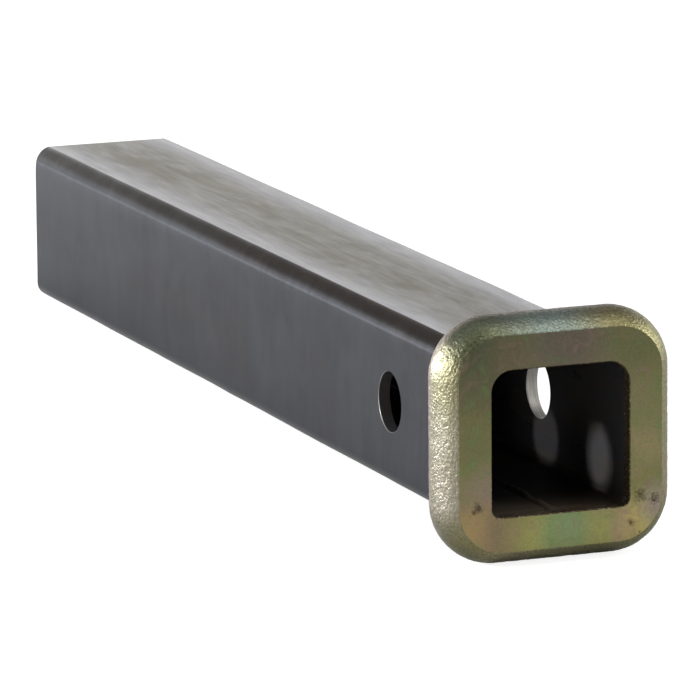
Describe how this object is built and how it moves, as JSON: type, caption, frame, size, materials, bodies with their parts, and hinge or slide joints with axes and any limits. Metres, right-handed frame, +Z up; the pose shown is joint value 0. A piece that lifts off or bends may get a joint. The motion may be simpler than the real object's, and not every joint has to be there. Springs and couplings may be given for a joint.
{
  "type": "receiver tube",
  "caption": "Short square steel hitch receiver tube with a forged collar welded round its mouth and a cross hole for the hitch pin.",
  "frame": {"origin": "centre of the pin hole, on the tube's centreline", "axes": "+X along the tube and out of its mouth, +Y along the pin hole, +Z up"},
  "size_m": [0.2921, 0.054, 0.054],
  "materials": {
    "mill_scale_steel": "bare rolled steel with mill scale",
    "zinc_plated_forging": "yellow zinc plated forging",
    "weld_metal": "as welded"
  },
  "bodies": {
    "root": {"tube": "mill_scale_steel", "collar": "zinc_plated_forging", "collar_weld": "weld_metal"}
  },
  "joints": []
}
